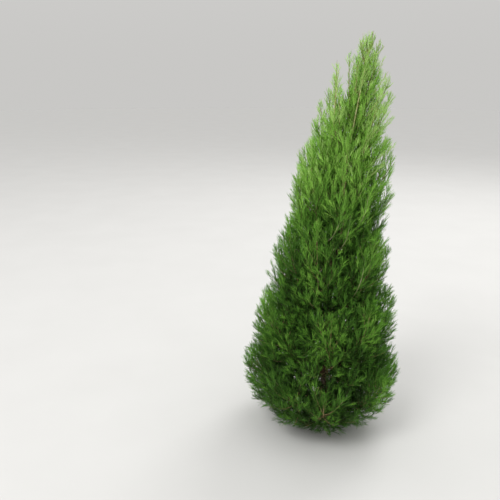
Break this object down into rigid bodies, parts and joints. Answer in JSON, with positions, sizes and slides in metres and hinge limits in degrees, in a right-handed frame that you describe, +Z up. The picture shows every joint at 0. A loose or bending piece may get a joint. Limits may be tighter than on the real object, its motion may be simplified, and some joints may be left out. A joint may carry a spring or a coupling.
{
  "type": "chinese juniper",
  "caption": "Young Chinese juniper with a dense, pointed cone of upswept feathery foliage, a slightly leaning trunk and a forked tip.",
  "frame": {"origin": "middle of the flat cut under the trunk, at ground level", "axes": "+Z up along the foot of the trunk, +X to the right and +Y away from the viewer in the picture"},
  "size_m": [0.7062, 0.7237, 1.7733],
  "materials": {
    "bark": "fibrous, matt",
    "young_bark": "smooth, matt",
    "needles": "matt"
  },
  "bodies": {
    "root": {"trunk": "bark", "bough_skirt_1": "young_bark", "foliage_skirt_1": "needles", "bough_skirt_2": "young_bark", "foliage_skirt_2": "needles", "bough_skirt_3": "young_bark", "foliage_skirt_3": "needles", "bough_skirt_4": "young_bark", "foliage_skirt_4": "needles", "bough_skirt_5": "young_bark", "foliage_skirt_5": "needles", "bough_skirt_6": "young_bark", "foliage_skirt_6": "needles", "bough_skirt_7": "young_bark", "foliage_skirt_7": "needles", "bough_skirt_8": "young_bark", "foliage_skirt_8": "needles", "bough_lower_1": "young_bark", "foliage_lower_1": "needles", "bough_lower_2": "young_bark", "foliage_lower_2": "needles", "bough_lower_3": "young_bark", "foliage_lower_3": "needles", "bough_lower_4": "young_bark", "foliage_lower_4": "needles", "bough_lower_5": "young_bark", "foliage_lower_5": "needles", "bough_lower_6": "young_bark", "foliage_lower_6": "needles", "bough_lower_7": "young_bark", "foliage_lower_7": "needles", "bough_middle_1": "young_bark", "foliage_middle_1": "needles", "bough_middle_2": "young_bark", "foliage_middle_2": "needles", "bough_middle_3": "young_bark", "foliage_middle_3": "needles", "bough_middle_4": "young_bark", "foliage_middle_4": "needles", "bough_middle_5": "young_bark", "foliage_middle_5": "needles", "bough_middle_6": "young_bark", "foliage_middle_6": "needles", "foliage_upper_1": "needles", "foliage_upper_2": "needles", "foliage_upper_3": "needles", "foliage_upper_4": "needles", "foliage_upper_5": "needles", "foliage_top_1": "needles", "foliage_top_2": "needles", "foliage_top_3": "needles", "foliage_top_4": "needles", "foliage_crest_1": "needles", "foliage_crest_2": "needles", "foliage_crest_3": "needles", "bough_second_leader": "young_bark", "foliage_second_leader": "needles", "foliage_right_shoots": "needles", "foliage_leader": "needles"}
  },
  "joints": []
}
